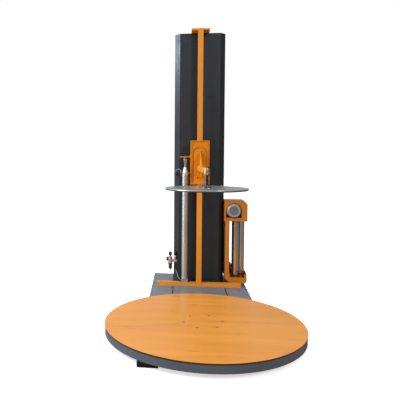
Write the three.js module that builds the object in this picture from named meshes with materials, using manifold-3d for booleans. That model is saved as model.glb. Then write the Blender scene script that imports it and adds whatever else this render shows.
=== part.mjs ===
// Turntable pallet wrapper with a pneumatic top press. Millimetres, +Z up.
// The origin lies on the floor on the turntable's axis; +Y runs to the column, +X to the film carriage.
import * as THREE from 'three';
import { mergeVertices } from 'three/addons/utils/BufferGeometryUtils.js';
import Module from 'manifold-3d';

const wasm = await Module();
wasm.setup();

// Driving dimensions
const TABLE_RADIUS = 750;
const TABLE_TOP = 110;
const COLUMN_HEIGHT = 2568;
const COLUMN_FRONT = 1137;
const FILM_WIDTH = 500;
const DISC_RADIUS = 310;

// Turntable
const PLATE_BOTTOM = TABLE_TOP - 6;
const SKIRT = { outer: TABLE_RADIUS - 3, wall: 3, bottom: 42 };
const HUB_BOLTS = { count: 6, circle: 150, hole: 11, head: 8, phase: 10 };
const TRACK = { radius: 560, width: 40, bottom: 96 };
const SUPPORT_WHEEL = { radius: 25, width: 22 };
const RIBS = { count: 8, inner: 178, half: 4, phase: 40 };
const WHEEL_FOOT = { half: 26, depth: 20, height: 6, cheek: 5, gap: 13, cheekDepth: 14, pin: 6 };
const PIVOT = { bore: 20, radius: 35, flange: 120, flangeTop: 16, top: 96 };
const HUB = { inner: 36, outer: 60, bottom: 30, flange: 185, flangeBottom: 88, seat: 45 };

// Drives
const TABLE_CHAIN = { pitch: 25.4, big: 42, small: 14, thickness: 8, z: 24 };
const LIFT_CHAIN = { pitch: 12.7, teeth: 17, thickness: 6, x: 140, y: 1297, bottom: 190, top: 2440 };
const TABLE_DRIVE_Y = 1290;
const TABLE_MOTOR = {
  bridge: 98, depth: 70, bottom: 78, top: 86,
  gearbox: 60, motorFoot: 200, motorTop: 400,
};
const LIFT_MOTOR = { shelf: 190, drop: 70, thickness: 8, gearbox: 60, radius: 58, length: 221 };

// Base
const FLOOR_PLATE = 8;
const BEAM = { inner: 313, outer: 453, height: 38, wall: 5, rear: 1490, front: -500, anchor: -610 };
const FRAME_RAIL = { inner: 200, outer: 270, front: 790, rear: 1440 };
const COVER = { top: TABLE_TOP - 5, sheet: 3, gap: 4, seam: 247, rear: 1510, arc: TABLE_RADIUS + 10 };

// Column
const COLUMN = { front: 195, half: 245, bevel: 50, rear: 1457, wall: 4, bottom: BEAM.height, cap: 3 };
const SLOT = { front: 1270, rear: 1330, bottom: 230, top: 2440 };
const RAIL = { left: 136, right: 190, depth: 40, wall: 5, bottom: 120, top: 2540 };

// Press
const MAST = { half: 25, front: 1005, rear: 1055, foot: 22, wall: 4, top: COLUMN_HEIGHT + 16 };
const MAST_BRACKET = { half: 86, rear: 1300 };
const CROSSBAR = { half: 403, front: 1010, rear: 1052, height: 38 };
const CARRIAGE = { half: 88, wall: 8, front: 946, rear: 1105, bottom: 1100, top: 1517 };
const ARCH = { half: 60, corner: 48, shoulder: 1397 };
const LUG = { end: -191, half: 27, bottom: 1357, top: 1366, gusset: 18, web: 4 };
const PRESS_ROLLER = { radius: 19, half: 28, axle: 8 };
const ARM = { half: 22, bottom: 1232, top: 1288, tip: 23, skew: 0.95 };
const CYLINDER = { x: -137, y: 1037, radius: 30, bore: 25, bottom: 175, top: 1196, ear: 7, footHalf: 30 };
const CYLINDER_NECK = { bottom: 1211, top: 1262, wide: 29, narrow: 13 };
const ROD = { radius: 10, piston: 30, flareBottom: 1285, flareTop: 1330, flare: 19 };
const DISC = { bottom: 1122, thickness: 5, pad: 6, shaft: 13 };

// Film carriage
const FILM = { left: 256, right: 465, front: 1085, back: 1480, wall: 4 };
const HOUSING = { left: 247, right: 466, top: 938, bottom: 736, back: 1262, chamfer: 34 };
const BOTTOM_BOX = { bottom: 129, top: 222, chamfer: 46, notch: 186 };
const ROLLER = { radius: 35, shaft: 10, bottom: 195, length: FILM_WIDTH + 36, x: 359, y: 1156, spacing: 84 };
const GEAR = { module: 3, big: 40, small: 16, bottom: 748, thickness: 20, backlash: 0.4 };
const MOTOR = { x: 336, z: 840, radius: 64, opening: 74, front: 1074, back: 1190 };
const CHUCK = { x: 388, y: 1366, base: 203, rim: 12, shaft: 10, flange: 62, core: 37 };
const CHUCK_ARM = { half: 35, bottom: 785, top: 797 };
const TROLLEY_WHEEL = { radius: 20, width: 18, x: 163, pin: 6 };
const TROLLEY = { left: 173, right: 180, front: 1158, rear: 1436, bottom: 300, top: 680, arms: [320, 610] };
const TROLLEY_PLATE = { left: 250, front: 1150, rear: 1450, bottom: 215, top: 706 };

// Air supply and controls
const AIR = { x: -279, y: 1150, bowl: 240, body: 300, neck: 364 };
const BEVEL_MIDDLE = [-220, 1162, 0];
const CABINET = { half: 150, front: COLUMN.rear + 3, rear: COLUMN.rear + 150, bottom: 1080, top: 1470 };
const STOP_BUTTON = { x: -60, z: 1380, stem: 10.6, cap: 20 };

const CLEARANCE = 0.3;

// Materials
function finish(color, roughness, metalness) {
  return new THREE.MeshStandardMaterial({ color, roughness, metalness });
}

const orange = () => finish(0xdd8a2e, 0.45, 0.05);
const darkOrange = () => finish(0xb8661e, 0.45, 0.05);
const charcoal = () => finish(0x33363a, 0.5, 0.1);
const coverGrey = () => finish(0x626871, 0.5, 0.1);
const black = () => finish(0x141517, 0.5, 0.1);
const steel = () => finish(0xb9bcc0, 0.3, 1);
const darkSteel = () => finish(0x4a4d52, 0.4, 1);
const aluminium = () => finish(0xc9ccd1, 0.35, 1);
const rubber = () => finish(0x1d1d1f, 0.85, 0);
const red = () => finish(0xc02018, 0.4, 0);

// Shape helpers: every helper returns a manifold solid, so that solids add and subtract directly.
function toSolid(geometry) {
  geometry.deleteAttribute('normal');
  geometry.deleteAttribute('uv');
  const welded = mergeVertices(geometry, 1e-4);
  return new wasm.Manifold(new wasm.Mesh({
    numProp: 3,
    vertProperties: new Float32Array(welded.attributes.position.array),
    triVerts: new Uint32Array(welded.index.array),
  }));
}

function toGeometry(solid) {
  const mesh = solid.getMesh();
  const geometry = new THREE.BufferGeometry();
  geometry.setAttribute('position', new THREE.BufferAttribute(mesh.vertProperties, 3));
  geometry.setIndex(new THREE.BufferAttribute(mesh.triVerts, 1));
  return geometry;
}

function box(x0, x1, y0, y1, z0, z1) {
  const geometry = new THREE.BoxGeometry(x1 - x0, y1 - y0, z1 - z0);
  return toSolid(geometry.translate((x0 + x1) / 2, (y0 + y1) / 2, (z0 + z1) / 2));
}

// A round bar along Z, about (x, y).
function post(radius, z0, z1, segments = 24, x = 0, y = 0) {
  const geometry = new THREE.CylinderGeometry(radius, radius, z1 - z0, segments);
  return toSolid(geometry.rotateX(Math.PI / 2).translate(x, y, (z0 + z1) / 2));
}

// A round bar along X or Y, centred at the other two coordinates.
function barX(radius, x0, x1, y, z, segments = 24) {
  const geometry = new THREE.CylinderGeometry(radius, radius, x1 - x0, segments);
  return toSolid(geometry.rotateZ(Math.PI / 2).translate((x0 + x1) / 2, y, z));
}

function barY(radius, y0, y1, x, z, segments = 24) {
  const geometry = new THREE.CylinderGeometry(radius, radius, y1 - y0, segments);
  return toSolid(geometry.translate(x, (y0 + y1) / 2, z));
}

// A ring or stepped ring turned about Z from a closed [radius, z] profile, listed counter-clockwise.
function turned(profile, segments = 48) {
  const points = [...profile, profile[0]].map(([r, z]) => new THREE.Vector2(r, z));
  return toSolid(new THREE.LatheGeometry(points, segments).rotateX(Math.PI / 2));
}

// An [x, y] outline drawn upwards from z0 to z1.
function prism(outline, z0, z1) {
  const shape = new THREE.Shape(outline.map(([x, y]) => new THREE.Vector2(x, y)));
  const geometry = new THREE.ExtrudeGeometry(shape, { depth: z1 - z0, bevelEnabled: false });
  return toSolid(geometry.translate(0, 0, z0));
}

// A [y, z] outline drawn along X, and an [x, z] outline drawn along Y.
const prismX = (outline, x0, x1) => prism(outline, x0, x1).rotate([90, 0, 90]);
const prismY = (outline, y0, y1) => prism(outline, -y1, -y0).rotate([90, 0, 0]);

// A round tube or cable through the given points.
function cable(points, radius, steps) {
  const path = new THREE.CatmullRomCurve3(points.map((p) => new THREE.Vector3(...p)));
  const shape = new THREE.Shape();
  shape.absarc(0, 0, radius, 0, Math.PI * 2, false);
  const options = { extrudePath: path, steps, curveSegments: 4, bevelEnabled: false };
  return toSolid(new THREE.ExtrudeGeometry(shape, options));
}

const union = (...solids) => solids.reduce((sum, solid) => sum.add(solid));
const radians = THREE.MathUtils.degToRad;

function ringPoint(radius, degrees) {
  return [radius * Math.cos(radians(degrees)), radius * Math.sin(radians(degrees))];
}

const group = new THREE.Group();
group.name = 'turntable_pallet_wrapper';

// Adds one named part to a parent group. The solid is given in the parent's own coordinates.
function part(parent, name, solid, material) {
  const mesh = new THREE.Mesh(toGeometry(solid), material);
  mesh.name = name;
  parent.add(mesh);
  return mesh;
}

// A nested group that stands at a joint, so that its parts are drawn about the joint's axis.
function frameAt(parent, x, y, z, turnZ = 0) {
  const frame = new THREE.Group();
  frame.position.set(x, y, z);
  frame.rotation.z = radians(turnZ);
  parent.add(frame);
  return frame;
}

// A toothed outline: each tooth is given by [radius, half angle in degrees] pairs from root to tip.
function toothed(count, flank, turn = 0) {
  const outline = [];
  for (let i = 0; i < count; i += 1) {
    const centre = turn + (i * 360) / count;
    flank.forEach(([r, half]) => outline.push(ringPoint(r, centre - half)));
    [...flank].reverse().forEach(([r, half]) => outline.push(ringPoint(r, centre + half)));
  }
  return outline;
}

const pitchRadius = (pitch, teeth) => pitch / (2 * Math.sin(Math.PI / teeth));

function sprocketOutline(pitch, teeth) {
  const r = pitchRadius(pitch, teeth);
  const step = 360 / teeth;
  return toothed(teeth, [[r - 0.25 * pitch, 0.3 * step], [r + 0.24 * pitch, 0.1 * step]]);
}

// Involute flank of a spur gear, as [radius, half angle] pairs.
function gearFlank(teeth) {
  const pitch = (GEAR.module * teeth) / 2;
  const base = pitch * Math.cos(radians(20));
  const involute = (r) => Math.sqrt(Math.max((r / base) ** 2 - 1, 0)) - Math.acos(Math.min(base / r, 1));
  const half = (Math.PI * GEAR.module) / 4 / pitch - GEAR.backlash / 2 / pitch;
  const radii = [pitch - 1.25 * GEAR.module, pitch, pitch + 0.85 * GEAR.module];
  const halfAngle = (r) => half + involute(pitch) - involute(Math.max(r, base));
  return radii.map((r) => [r, THREE.MathUtils.radToDeg(halfAngle(r))]);
}

// The outline of a belt round a big pulley at the origin and a small one at (distance, 0).
function beltOutline(big, small, distance, offset) {
  const tangent = Math.acos((big - small) / distance);
  const outline = [];
  const arc = (radius, x, from, to) => {
    const steps = Math.max(12, Math.round(radius / 5));
    for (let i = 0; i <= steps; i += 1) {
      const angle = from + ((to - from) * i) / steps;
      outline.push([x + (radius + offset) * Math.cos(angle), (radius + offset) * Math.sin(angle)]);
    }
  };
  arc(big, 0, tangent, 2 * Math.PI - tangent);
  arc(small, distance, -tangent, tangent);
  return outline;
}

// A roller chain as one closed loop: two rows of plates joined by a band outside the tooth tips.
function chainLoop({ pitch, thickness, z = 0 }, big, small, distance) {
  const outer = 0.24 * pitch + 2.2;
  const band = (offset, z0, z1) => prism(beltOutline(big, small, distance, offset), z0, z1);
  const half = thickness / 2 + 1;
  const body = band(outer, z - half - 2, z + half + 2);
  const plates = band(-0.2 * pitch, z - half - 3, z + half + 3);
  return body.subtract(plates).subtract(band(outer - 1.4, z - half, z + half));
}

// Dimensions that follow from the ones at the top
const TABLE_SPROCKET_PITCH = pitchRadius(TABLE_CHAIN.pitch, TABLE_CHAIN.big);
const DRIVE_SPROCKET_PITCH = pitchRadius(TABLE_CHAIN.pitch, TABLE_CHAIN.small);
const LIFT_SPROCKET_PITCH = pitchRadius(LIFT_CHAIN.pitch, LIFT_CHAIN.teeth);
const SUPPORT_ANGLES = [45, 135, 225, 315];

// The arm is set slightly askew, so the press head hangs a little to one side of the turntable's axis.
const HEAD_AXIS = {
  x: CARRIAGE.front * Math.sin(radians(ARM.skew)),
  y: CARRIAGE.front * (1 - Math.cos(radians(ARM.skew))),
};

const PRESS_ROLLERS = [
  { name: 'press_roller_lower', y: MAST.front - CLEARANCE - PRESS_ROLLER.radius, z: 1150 },
  { name: 'press_roller_upper', y: MAST.rear + CLEARANCE + PRESS_ROLLER.radius, z: 1467 },
];

const REAR_ROLLER = {
  x: ROLLER.x + ROLLER.spacing * Math.SQRT1_2,
  y: ROLLER.y + ROLLER.spacing * Math.SQRT1_2,
};
const ROLLER_TOP = ROLLER.bottom + ROLLER.length;
const BEARING_SEATS = [[ROLLER.x, ROLLER.y], [REAR_ROLLER.x, REAR_ROLLER.y], [CHUCK.x, CHUCK.y]];

const RAIL_FACE = COLUMN.wall + RAIL.wall + CLEARANCE;
const TROLLEY_FRONT = COLUMN_FRONT + RAIL_FACE + TROLLEY_WHEEL.radius;
const TROLLEY_REAR = COLUMN.rear - RAIL_FACE - TROLLEY_WHEEL.radius;
const TROLLEY_WHEELS = [
  { name: 'trolley_wheel_front_lower', y: TROLLEY_FRONT, z: 330 },
  { name: 'trolley_wheel_front_upper', y: TROLLEY_FRONT, z: 650 },
  { name: 'trolley_wheel_rear_lower', y: TROLLEY_REAR, z: 330 },
  { name: 'trolley_wheel_rear_upper', y: TROLLEY_REAR, z: 650 },
];

// ---------------------------------------------------------------- base

// The foot, the two cheeks and the pin that carry one support wheel.
function wheelFoot() {
  const axle = TRACK.bottom - CLEARANCE - SUPPORT_WHEEL.radius;
  const { half, depth, height, cheek, gap, cheekDepth, pin } = WHEEL_FOOT;
  const floor = BEAM.height;
  const foot = box(-half, half, -depth, depth, floor, floor + height);
  const cheekAt = (x) => box(x, x + cheek, -cheekDepth, cheekDepth, floor + height - 1, axle + 2 * pin);
  const axlePin = barX(pin, -gap - cheek + 1, gap + cheek - 1, 0, axle);
  return union(foot, cheekAt(-gap - cheek), cheekAt(gap), axlePin);
}

// Two open-ended fork channels on a floor plate, the left one reaching forward past the skirt.
function baseFrame() {
  const { inner, outer, height, wall, rear } = BEAM;
  const channel = (side, front) => {
    const [x0, x1] = side < 0 ? [-outer, -inner] : [inner, outer];
    const tube = box(x0, x1, front, rear, 0, height);
    return tube.subtract(box(x0 + wall, x1 - wall, front - 1, rear + 1, wall, height - wall));
  };
  const plate = box(-inner, inner, -420, rear, 0, FLOOR_PLATE);
  const rail = (x0, x1) => box(x0, x1, FRAME_RAIL.front, FRAME_RAIL.rear, FLOOR_PLATE, height);
  const rails = [rail(-FRAME_RAIL.outer, -FRAME_RAIL.inner), rail(FRAME_RAIL.inner, FRAME_RAIL.outer)];
  const wheelFeet = SUPPORT_ANGLES.map((angle) => {
    const [x, y] = ringPoint(TRACK.radius, angle);
    return wheelFoot().rotate([0, 0, angle]).translate([x, y, 0]);
  });
  const { x, y, bottom } = LIFT_CHAIN;
  const idlerStand = box(x - 42, x - 12, y - 20, y + 20, FLOOR_PLATE - 1, bottom + 24);
  const idlerPin = barX(10, x - 20, x + 6, y, bottom, 20);
  const channels = union(channel(-1, BEAM.anchor), channel(1, BEAM.front));
  return union(channels, plate, idlerStand, idlerPin, ...rails, ...wheelFeet);
}

// A folded sheet cover: a top sheet with a lip down to the frame on every edge.
// Its front edge is cut round the turntable.
function baseCover(x0, x1, rear) {
  const blank = (grow, z0, z1) => {
    const slab = box(x0 + grow, x1 - grow, 400, rear - grow, z0, z1);
    return slab.subtract(post(COVER.arc + grow, z0 - 1, z1 + 1, 96));
  };
  const inside = blank(COVER.sheet, BEAM.height - 1, COVER.top - COVER.sheet);
  return blank(0, BEAM.height, COVER.top).subtract(inside);
}

function pivotPost() {
  const { bore, radius, flange, flangeTop, top } = PIVOT;
  const foot = [[bore, FLOOR_PLATE], [flange, FLOOR_PLATE], [flange, flangeTop]];
  return turned([...foot, [radius, flangeTop], [radius, top], [bore, top]], 24);
}

function buildBase() {
  part(group, 'base_frame', baseFrame(), black());
  part(group, 'base_cover_left', baseCover(-BEAM.outer, -COVER.seam, COVER.rear), coverGrey());
  part(group, 'base_cover_right', baseCover(COVER.seam, BEAM.outer, COVER.rear), coverGrey());
  const seam = COVER.seam - COVER.gap;
  part(group, 'base_cover_center', baseCover(-seam, seam, COLUMN_FRONT - COVER.gap), coverGrey());
  part(group, 'turntable_pivot_post', pivotPost(), darkSteel());
  const chain = chainLoop(TABLE_CHAIN, TABLE_SPROCKET_PITCH, DRIVE_SPROCKET_PITCH, TABLE_DRIVE_Y);
  part(group, 'turntable_drive_chain', chain.rotate([0, 0, 90]), darkSteel());
}

// ---------------------------------------------------------------- turntable
function hubBoltPoints() {
  const { count, circle, phase } = HUB_BOLTS;
  return Array.from({ length: count }, (_, i) => ringPoint(circle, phase + (i * 360) / count));
}

function tablePlate() {
  const plate = post(TABLE_RADIUS, PLATE_BOTTOM, TABLE_TOP, 96);
  const hole = ([x, y]) => post(HUB_BOLTS.hole, PLATE_BOTTOM - 1, TABLE_TOP + 1, 12, x, y);
  return hubBoltPoints().reduce((solid, point) => solid.subtract(hole(point)), plate);
}

function boltRing() {
  const [inner, outer] = [HUB_BOLTS.circle - 20, HUB_BOLTS.circle + 20];
  const bottom = PLATE_BOTTOM - 4;
  const ring = turned([[inner, bottom], [outer, bottom], [outer, PLATE_BOTTOM], [inner, PLATE_BOTTOM]], 24);
  const head = ([x, y]) => post(HUB_BOLTS.head, PLATE_BOTTOM - 1, TABLE_TOP - 2, 6, x, y);
  return union(ring, ...hubBoltPoints().map(head));
}

function tableSkirt() {
  const { outer, wall, bottom } = SKIRT;
  const inner = outer - wall;
  return turned([[inner, bottom], [outer, bottom], [outer, PLATE_BOTTOM], [inner, PLATE_BOTTOM]], 96);
}

// The spider under the plate: a hub tube with its flange, radial ribs and the track for the support wheels.
function tableSpider() {
  const top = PLATE_BOTTOM;
  const flangeTop = top - 4;
  const { inner: bore, outer: wall, bottom, flange, flangeBottom } = HUB;
  const tube = [[bore, bottom], [wall, bottom], [wall, flangeBottom]];
  const hub = turned([...tube, [flange, flangeBottom], [flange, flangeTop], [bore, flangeTop]], 28);
  const [inner, outer] = [TRACK.radius - TRACK.width / 2, TRACK.radius + TRACK.width / 2];
  const track = turned([[inner, TRACK.bottom], [outer, TRACK.bottom], [outer, top], [inner, top]], 40);
  const ribs = [];
  for (let i = 0; i < RIBS.count; i += 1) {
    const rib = box(RIBS.inner, SKIRT.outer - SKIRT.wall - 1, -RIBS.half, RIBS.half, TRACK.bottom, top);
    ribs.push(rib.rotate([0, 0, (i * 360) / RIBS.count + RIBS.phase]));
  }
  return union(hub, track, ...ribs);
}

function buildTurntable() {
  const table = frameAt(group, 0, 0, 0);
  part(table, 'turntable_plate', tablePlate(), orange());
  part(table, 'turntable_bolt_ring', boltRing(), darkSteel());
  part(table, 'turntable_skirt', tableSkirt(), coverGrey());
  part(table, 'turntable_spider', tableSpider(), black());
  const { pitch, big, thickness, z } = TABLE_CHAIN;
  const teeth = prism(sprocketOutline(pitch, big), z - thickness / 2, z + thickness / 2);
  const { seat, outer, bottom } = HUB;
  const boss = turned([[seat, bottom - 10], [outer, bottom - 10], [outer, bottom], [seat, bottom]], 28);
  const sprocket = teeth.subtract(post(seat, 0, 2 * bottom, 28)).add(boss);
  part(table, 'turntable_sprocket', sprocket, darkSteel());
  SUPPORT_ANGLES.forEach((angle, i) => {
    const [x, y] = ringPoint(TRACK.radius, angle);
    const wheel = frameAt(group, x, y, TRACK.bottom - CLEARANCE - SUPPORT_WHEEL.radius, angle);
    const half = SUPPORT_WHEEL.width / 2;
    const bore = barX(WHEEL_FOOT.pin + 0.6, -half - 1, half + 1, 0, 0, 20);
    const tyre = barX(SUPPORT_WHEEL.radius, -half, half, 0, 0, 20).subtract(bore);
    part(wheel, `support_wheel_${i + 1}`, tyre, rubber());
  });
}

function buildTableDrive() {
  const drive = frameAt(group, 0, TABLE_DRIVE_Y, 0);
  const half = TABLE_CHAIN.thickness / 2;
  const outline = sprocketOutline(TABLE_CHAIN.pitch, TABLE_CHAIN.small);
  const teeth = prism(outline, TABLE_CHAIN.z - half, TABLE_CHAIN.z + half);
  part(drive, 'turntable_drive_sprocket', union(teeth, post(14, 14, 70, 20)), darkSteel());
  const { bridge, depth, bottom, top, gearbox, motorFoot, motorTop } = TABLE_MOTOR;
  const shelf = box(-bridge, bridge, -depth, depth, bottom, top);
  const leg = (x) => box(x - 8, x + 8, -depth, depth, FLOOR_PLATE, bottom + 1);
  const housing = box(-gearbox, gearbox, -gearbox, gearbox, top, motorFoot);
  const body = post(gearbox + 6, motorFoot, motorTop, 24);
  const solid = union(shelf, housing, body, leg(8 - bridge), leg(bridge - 8));
  const motor = solid.subtract(post(15, bottom - 8, top + 14, 20));
  part(group, 'turntable_gearmotor', motor.translate([0, TABLE_DRIVE_Y, 0]), coverGrey());
}

// ---------------------------------------------------------------- column
function columnOutline(inset) {
  const { front, half, bevel, rear } = COLUMN;
  const slope = inset * Math.tan(Math.PI / 8);
  return [
    [-front + slope, COLUMN_FRONT + inset], [front - slope, COLUMN_FRONT + inset],
    [half - inset, COLUMN_FRONT + bevel + slope], [half - inset, rear - inset],
    [-half + inset, rear - inset], [-half + inset, COLUMN_FRONT + bevel + slope],
  ];
}

function columnShell() {
  const top = COLUMN_HEIGHT - COLUMN.cap;
  const shell = prism(columnOutline(0), COLUMN.bottom, top);
  const hollow = prism(columnOutline(COLUMN.wall), COLUMN.bottom - 1, top + 1);
  const rearOpening = box(-210, 210, COLUMN.rear - 8, COLUMN.rear + 1, 120, top - 60);
  const slot = box(230, 260, SLOT.front, SLOT.rear, SLOT.bottom, SLOT.top);
  return shell.subtract(hollow).subtract(rearOpening).subtract(slot);
}

// One C-section guide rail standing against the front or the rear wall and open to the column's middle.
function guideRail(wallY, direction) {
  const y = (depth) => wallY + direction * depth;
  const slab = (x0, x1, a, b, z0, z1) => box(x0, x1, Math.min(y(a), y(b)), Math.max(y(a), y(b)), z0, z1);
  const { left, right, depth, wall, bottom, top } = RAIL;
  const outer = slab(left, right, 0, depth, bottom, top);
  return outer.subtract(slab(left + wall, right - wall, wall, depth + 1, bottom - 1, top + 1));
}

function liftGearmotor() {
  const { x, y, top } = LIFT_CHAIN;
  const { shelf: reach, drop, thickness, gearbox: half, radius, length } = LIFT_MOTOR;
  const [front, rear] = [COLUMN_FRONT + COLUMN.wall, COLUMN.rear - COLUMN.wall];
  const shelf = box(-reach, x - 40, front, rear, top - drop - thickness, top - drop);
  const gearbox = box(x - 100, x - 40, y - half, y + half, top - drop - 1, top + half);
  const motor = barX(radius, x - 99 - length, x - 99, y, top, 24);
  return union(shelf, gearbox, motor).subtract(barX(11, x - 90, x, y, top, 20));
}

function buildColumn() {
  part(group, 'column_shell', columnShell(), charcoal());
  const top = COLUMN_HEIGHT - COLUMN.cap;
  part(group, 'column_top_cap', prism(columnOutline(0), top, COLUMN_HEIGHT), charcoal());
  const cover = box(-228, 228, COLUMN.rear, COLUMN.rear + 3, 112, top - 50);
  part(group, 'column_rear_cover', cover, charcoal());
  part(group, 'guide_rail_front', guideRail(COLUMN_FRONT + COLUMN.wall, 1), darkSteel());
  part(group, 'guide_rail_rear', guideRail(COLUMN.rear - COLUMN.wall, -1), darkSteel());
  part(group, 'lift_gearmotor', liftGearmotor(), coverGrey());
  const span = LIFT_CHAIN.top - LIFT_CHAIN.bottom;
  const loop = chainLoop(LIFT_CHAIN, LIFT_SPROCKET_PITCH, LIFT_SPROCKET_PITCH, span);
  const { x, y } = LIFT_CHAIN;
  part(group, 'lift_chain', loop.rotate([0, -90, 0]).translate([x, y, LIFT_CHAIN.bottom]), darkSteel());
  const half = LIFT_CHAIN.thickness / 2;
  const outline = sprocketOutline(LIFT_CHAIN.pitch, LIFT_CHAIN.teeth);
  const wheel = () => prism(outline, -half, half);
  const upper = frameAt(group, x, y, LIFT_CHAIN.top);
  const upperSolid = wheel().rotate([0, 90, 0]).add(barX(10, -50, 3, 0, 0, 20));
  part(upper, 'lift_sprocket_upper', upperSolid, darkSteel());
  const lower = frameAt(group, x, y, LIFT_CHAIN.bottom);
  const lowerSolid = wheel().rotate([0, 90, 0]).subtract(barX(10 + CLEARANCE, -9, 9, 0, 0, 20));
  part(lower, 'lift_sprocket_lower', lowerSolid, darkSteel());
}

// ---------------------------------------------------------------- top press
function mast() {
  const { half, front, rear, foot, wall, top } = MAST;
  const bottom = COVER.top;
  const tube = box(-half, half, front, rear, bottom, top);
  const hollow = box(-half + wall, half - wall, front + wall, rear - wall, bottom - 1, top + 1);
  const heelTop = bottom + CROSSBAR.height + CLEARANCE;
  const heel = box(-half - 1, half + 1, front + foot, rear + 1, bottom - 1, heelTop);
  return tube.subtract(hollow).subtract(heel);
}

function mastTopBracket() {
  const { half, rear } = MAST_BRACKET;
  const plate = box(-half, half, MAST.front + 3, rear, COLUMN_HEIGHT, MAST.top);
  return plate.subtract(box(-MAST.half, MAST.half, MAST.front, MAST.rear, COLUMN_HEIGHT - 1, MAST.top + 1));
}

function mastCrossbar() {
  const { half, front, rear, height } = CROSSBAR;
  const bar = box(-half, half, front, rear, COVER.top, COVER.top + height);
  const seat = box(-MAST.half, MAST.half, MAST.front, MAST.front + MAST.foot, 0, COVER.top + height + 1);
  return bar.subtract(seat);
}

// The cylinder tube stands in its square foot on the crossbar.
function cylinderBarrel() {
  const { x, y, radius, bore, bottom, top, footHalf } = CYLINDER;
  const foot = box(x - footHalf, x + footHalf, y - 26, y + 26, COVER.top + CROSSBAR.height, bottom);
  const tube = post(radius, bottom - 1, top, 32, x, y);
  const port = barX(7, x - 44, x - 30, y, bottom - 15, 12);
  return union(foot, tube, port).subtract(post(bore, bottom + 3, top + 1, 32, x, y));
}

function cylinderHead() {
  const { x, y, radius, top, ear } = CYLINDER;
  const { bottom, top: tip, wide, narrow } = CYLINDER_NECK;
  const bore = ROD.radius + CLEARANCE;
  const cap = post(radius + 1, top, bottom, 8, x, y);
  const neck = turned([[bore, bottom - 1], [wide, bottom - 1], [narrow, tip], [bore, tip]], 24);
  const ears = barX(ear, x - radius - 9, x + radius + 9, y, top + ear, 12);
  return union(cap, neck.translate([x, y, 0]), ears).subtract(post(bore, top - 1, tip + 1, 24, x, y));
}

function cylinderRod() {
  const { x, y, bore, bottom } = CYLINDER;
  const { radius, piston, flareBottom, flareTop, flare } = ROD;
  const start = bottom + 7;
  const bar = post(radius, start, LUG.bottom, 24);
  const head = post(bore - CLEARANCE, start, start + piston, 32);
  const top = LUG.bottom;
  const rim = [[flare, flareTop], [flare, top], [2, top]];
  const cone = turned([[2, flareBottom], [radius, flareBottom], ...rim], 24);
  return union(bar, head, cone).translate([x, y, 0]);
}

// A plate outline with a straight foot and two rounded upper corners.
function archOutline(bottom) {
  const { half, corner, shoulder } = ARCH;
  const outline = [[-half, bottom], [half, bottom]];
  for (let i = 0; i <= 12; i += 1) {
    const [x, z] = ringPoint(corner, i * 15);
    outline.push([x + (i <= 6 ? half - corner : corner - half), shoulder + z]);
  }
  return outline;
}

// The lug on the carriage's side that stands on the cylinder rod.
function cylinderLug() {
  const { end, half, bottom, top, gusset, web } = LUG;
  const root = -CARRIAGE.half;
  const plate = box(end, root, CYLINDER.y - half, CYLINDER.y + half, bottom, top);
  const rib = [[root, top - 1], [root, top + gusset], [root - gusset, top - 1]];
  return plate.add(prismY(rib, CYLINDER.y - web, CYLINDER.y + web));
}

function pressCarriage() {
  const { half, wall, front, rear, bottom, top } = CARRIAGE;
  const outer = box(-half, half, front, rear, bottom, top);
  const recess = box(-half + wall, half - wall, front - 1, front + wall, bottom + wall, top - wall);
  const inside = box(-half + wall, half - wall, front + 2 * wall, rear - wall, bottom + wall, top - wall);
  const passage = box(-MAST.half - 4, MAST.half + 4, MAST.front - 4, MAST.rear + 4, bottom - 1, top + 1);
  const archPlate = prismY(archOutline(bottom + wall), front, front + wall);
  const body = outer.subtract(recess).subtract(inside).subtract(passage).add(archPlate).add(cylinderLug());
  const hole = ({ y, z }) => barX(PRESS_ROLLER.axle + CLEARANCE, -half - 1, half + 1, y, z, 12);
  return PRESS_ROLLERS.reduce((solid, roller) => solid.subtract(hole(roller)), body);
}

// A flat bar between two points.
function strut(from, to, width, thickness) {
  const start = new THREE.Vector3(...from);
  const end = new THREE.Vector3(...to);
  const along = end.clone().sub(start);
  const geometry = new THREE.BoxGeometry(width, thickness, along.length());
  const up = new THREE.Vector3(0, 0, 1);
  const turn = new THREE.Quaternion().setFromUnitVectors(up, along.clone().normalize());
  geometry.applyQuaternion(turn);
  const middle = start.add(end).multiplyScalar(0.5);
  return toSolid(geometry.translate(middle.x, middle.y, middle.z));
}

function pressArm() {
  const { half, bottom, top, tip, skew } = ARM;
  const root = CARRIAGE.front;
  const beam = box(-half, half, 16, root + 8, bottom + 4, top - 10);
  const housing = post(tip, bottom, top - 10, 28);
  const gusset = prismX([[root + 8, top - 11], [root + 8, top + 140], [root - 310, top - 11]], -4, 4);
  const brace = (side) => strut([side * 8, 770, bottom + 12], [side * 33, root + 12, 1158], 9, 12);
  const braces = [brace(-1), brace(1)];
  const bore = post(DISC.shaft + CLEARANCE, 1200, 1300, 20);
  const straight = union(beam, housing, gusset, ...braces).subtract(bore);
  const turned = straight.translate([0, -root, 0]).rotate([0, 0, skew]).translate([0, root, 0]);
  return turned.subtract(box(-200, 200, root, root + 60, 1000, 1500));
}

function pressShaft() {
  const flange = DISC.bottom + DISC.thickness;
  const { shaft: radius } = DISC;
  const foot = union(post(40, flange, flange + 9, 28), post(24, flange + 8, flange + 22, 24));
  const shaft = foot.add(post(radius, flange, ARM.top + 2, 20));
  const nut = post(20, ARM.top - 10 + CLEARANCE, ARM.top, 6);
  let solid = shaft.add(nut);
  for (let i = 0; i < 6; i += 1) {
    const [x, y] = ringPoint(32, i * 60 + 15);
    solid = solid.add(post(5.5, flange + 9, flange + 17, 6, x, y));
  }
  return solid;
}

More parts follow.
